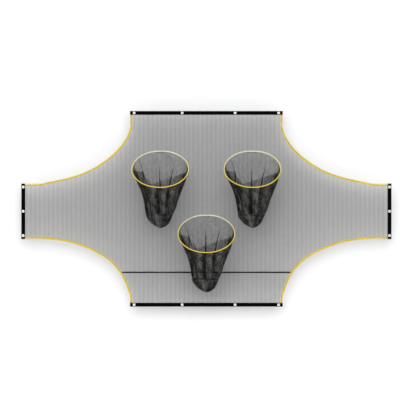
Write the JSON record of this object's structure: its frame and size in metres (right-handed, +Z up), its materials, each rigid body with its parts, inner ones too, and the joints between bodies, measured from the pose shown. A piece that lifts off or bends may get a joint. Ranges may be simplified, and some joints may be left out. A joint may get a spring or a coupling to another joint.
{
  "type": "golf chipping net",
  "caption": "Hanging golf chipping net: black mesh panel with scooped corners, webbing edges with eyelets and sprung hoop baskets that fold flat.",
  "frame": {"origin": "middle of the net panel's thickness, at the centre of the four outer long-edge eyelets", "axes": "+X to the right along the long edges, +Z up, baskets stand out along -Y"},
  "size_m": [3.66, 0.4311, 1.934],
  "materials": {
    "black_mesh": "knitted polyester mesh",
    "bag_mesh": "knitted polyester mesh, finer",
    "black_webbing": "woven webbing",
    "seam_tape": "woven tape",
    "hinge_tape": "woven tape",
    "yellow_binding": "woven binding tape",
    "yellow_sleeve": "woven sleeve",
    "nickel": "nickel plated",
    "rod": "glass-fibre rod",
    "ferrule": "drawn steel tube"
  },
  "bodies": {
    "net": {"upper_net_panel": "black_mesh", "lower_net_panel": "black_mesh", "seam_tape_front": "seam_tape", "seam_tape_back": "seam_tape", "upper_left_binding": "yellow_binding", "upper_right_binding": "yellow_binding", "lower_left_binding": "yellow_binding", "lower_right_binding": "yellow_binding", "top_webbing": "black_webbing", "top_eyelets": "nickel", "top_eyelet_washers": "nickel", "bottom_webbing": "black_webbing", "bottom_eyelets": "nickel", "bottom_eyelet_washers": "nickel", "left_webbing": "black_webbing", "left_eyelets": "nickel", "left_eyelet_washers": "nickel", "right_webbing": "black_webbing", "right_eyelets": "nickel", "right_eyelet_washers": "nickel", "left_hinge_loop": "hinge_tape", "right_hinge_loop": "hinge_tape", "lower_hinge_loop": "hinge_tape"},
    "left_basket": {"left_hoop_upper_rod": "rod", "left_hoop_lower_rod": "rod", "left_hoop_ferrules": "ferrule", "left_hoop_sleeve": "yellow_sleeve", "left_bag": "bag_mesh", "left_bag_bottom": "bag_mesh"},
    "right_basket": {"right_hoop_upper_rod": "rod", "right_hoop_lower_rod": "rod", "right_hoop_ferrules": "ferrule", "right_hoop_sleeve": "yellow_sleeve", "right_bag": "bag_mesh", "right_bag_bottom": "bag_mesh"},
    "lower_basket": {"lower_hoop_upper_rod": "rod", "lower_hoop_lower_rod": "rod", "lower_hoop_ferrules": "ferrule", "lower_hoop_sleeve": "yellow_sleeve", "lower_bag": "bag_mesh", "lower_bag_bottom": "bag_mesh"}
  },
  "joints": [
    {"name": "left_hoop_fold", "type": "hinge", "parent": "net", "child": "left_basket", "pos_m": [-0.452, -0.00845, 0.568], "axis": [1, 0, 0], "range_deg": [0, 42], "stiffness_Nm_per_rad": 1.5, "springref_deg": -57.3, "deforming": ["left_bag", "left_bag_bottom"]},
    {"name": "right_hoop_fold", "type": "hinge", "parent": "net", "child": "right_basket", "pos_m": [0.452, -0.00845, 0.568], "axis": [1, 0, 0], "range_deg": [0, 42], "stiffness_Nm_per_rad": 1.5, "springref_deg": -57.3, "deforming": ["right_bag", "right_bag_bottom"]},
    {"name": "lower_hoop_fold", "type": "hinge", "parent": "net", "child": "lower_basket", "pos_m": [0, -0.00845, -0.065], "axis": [1, 0, 0], "range_deg": [0, 42], "stiffness_Nm_per_rad": 1.5, "springref_deg": -57.3, "deforming": ["lower_bag", "lower_bag_bottom"]}
  ]
}
